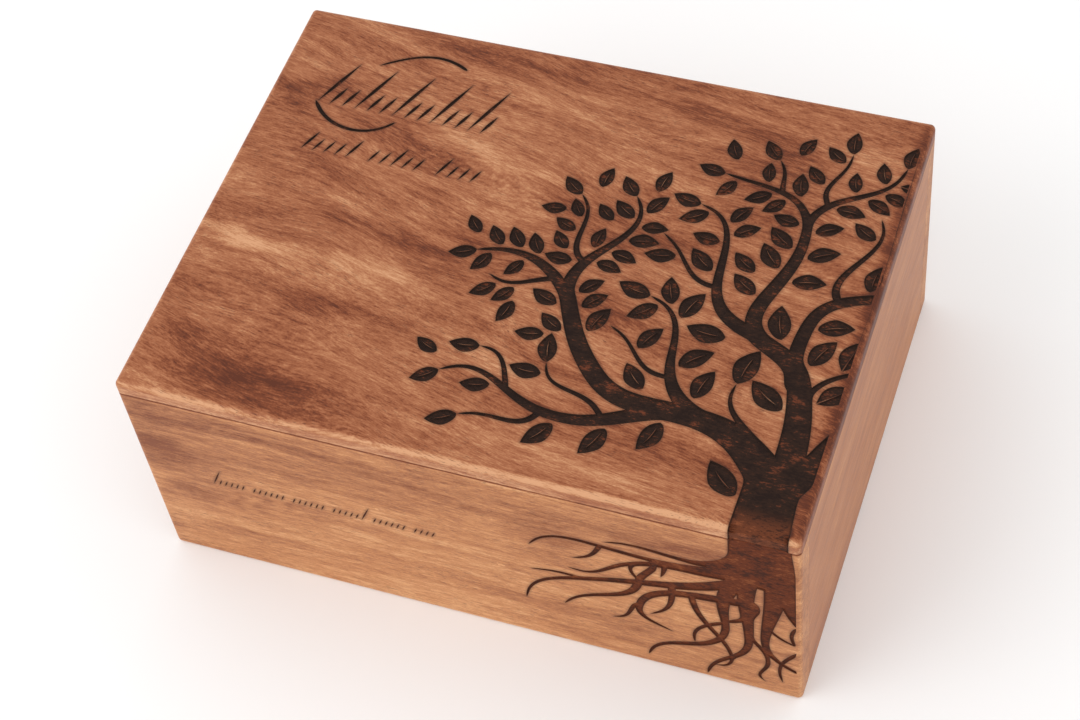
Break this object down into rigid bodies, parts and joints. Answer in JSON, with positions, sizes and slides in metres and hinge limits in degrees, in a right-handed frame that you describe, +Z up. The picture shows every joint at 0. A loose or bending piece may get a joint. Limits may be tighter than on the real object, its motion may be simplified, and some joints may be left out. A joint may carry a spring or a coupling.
{
  "type": "cremation urn box",
  "caption": "Low rectangular wooden urn box with a loose rabbeted lid, a burnt tree on the lid whose trunk turns over the front edge into roots, and rows of plain pen strokes.",
  "frame": {"origin": "middle of the underside, on the surface the box stands on", "axes": "+X to the right along the front, +Y from the front to the back, +Z up through the lid"},
  "size_m": [0.254, 0.192, 0.108],
  "materials": {
    "lid_wood": "satin oiled hardwood, reddish brown with pale and dark streaks; engraving burnt near black",
    "front_wood": "satin oiled hardwood, warm orange brown, grain along the board; engraving burnt red brown",
    "side_wood": "satin oiled hardwood, pinkish brown, even grain",
    "bottom_wood": "plain sanded hardwood"
  },
  "bodies": {
    "root": {"lid": "lid_wood", "front_board": "front_wood", "back_board": "front_wood", "left_side": "side_wood", "right_side": "side_wood", "bottom_panel": "bottom_wood"}
  },
  "joints": []
}
